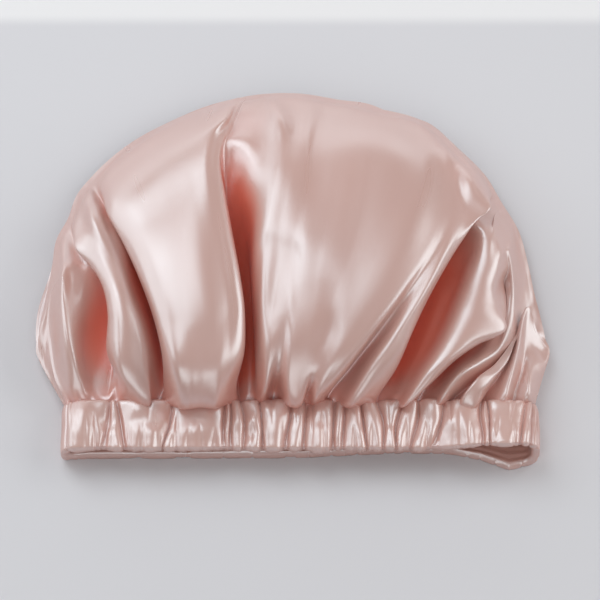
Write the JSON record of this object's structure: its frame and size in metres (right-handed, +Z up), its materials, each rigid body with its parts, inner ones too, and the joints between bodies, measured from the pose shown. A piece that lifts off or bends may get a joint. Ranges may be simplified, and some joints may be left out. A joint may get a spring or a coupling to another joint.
{
  "type": "sleep cap",
  "caption": "Satin sleep cap lying flat: a puffed, deeply folded crown of front and back panels gathered into a ruched elastic band with an open mouth.",
  "frame": {"origin": "on the table, under the middle of the whole cap's box", "axes": "+X across the band to the right as seen from the mouth, -Y out of the mouth, +Z up from the table"},
  "size_m": [0.2914, 0.2406, 0.0609],
  "materials": {
    "satin": "glossy blush satin",
    "satin_inside": "matt back of the satin",
    "elastic": "white woven elastic"
  },
  "bodies": {
    "lower_half": {"crown_back_panel": "satin", "back_casing": "satin", "back_elastic": "elastic", "back_gather_seam": "satin_inside", "arch_seam": "satin_inside"},
    "upper_half": {"crown_front_panel": "satin", "front_casing": "satin", "front_elastic": "elastic", "front_gather_seam": "satin_inside"}
  },
  "joints": [
    {"name": "mouth_opening", "type": "hinge", "parent": "lower_half", "child": "upper_half", "pos_m": [0, 0.1203, 0.0087], "axis": [-1, 0, 0], "range_deg": [0, 25]}
  ]
}
